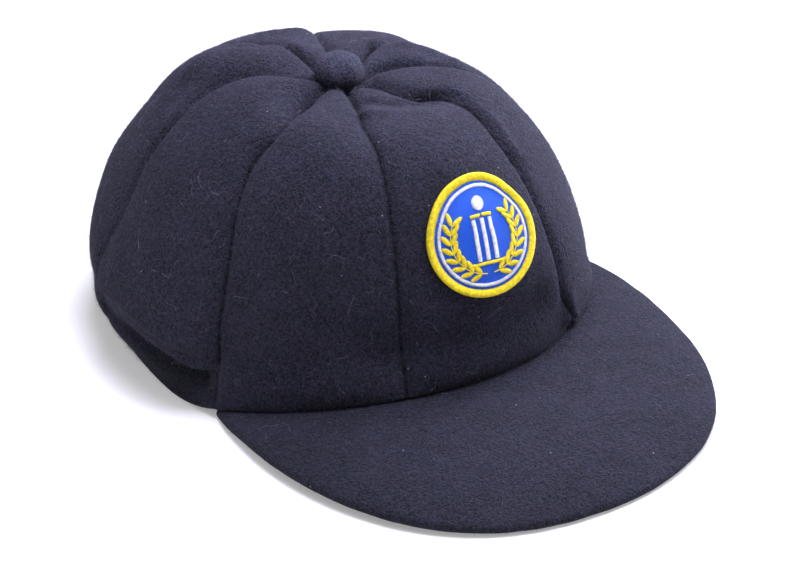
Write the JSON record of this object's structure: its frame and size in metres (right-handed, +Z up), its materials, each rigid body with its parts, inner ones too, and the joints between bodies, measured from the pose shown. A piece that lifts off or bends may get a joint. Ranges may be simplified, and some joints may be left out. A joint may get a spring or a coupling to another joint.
{
  "type": "cricket cap",
  "caption": "Cricket cap with a soft panelled wool crown, a covered button, a stiff round peak and a round embroidered patch, lying on a surface.",
  "frame": {"origin": "on the table under the middle of the cap's overall box", "axes": "+Z up, the peak points along -Y, the wearer's left is +X"},
  "size_m": [0.1926, 0.2674, 0.112],
  "materials": {
    "crown_wool": "milled navy wool with a fine pale fuzz",
    "peak_wool": "milled navy wool over board, rolled edge",
    "button_wool": "milled navy wool drawn over a button",
    "patch_thread": "satin-stitch embroidery in blue, yellow and white"
  },
  "bodies": {
    "root": {"panel_front": "crown_wool", "panel_front_left": "crown_wool", "panel_left": "crown_wool", "panel_back_left": "crown_wool", "panel_back": "crown_wool", "panel_back_right": "crown_wool", "panel_right": "crown_wool", "panel_front_right": "crown_wool", "peak": "peak_wool", "button": "button_wool", "patch": "patch_thread"}
  },
  "joints": []
}
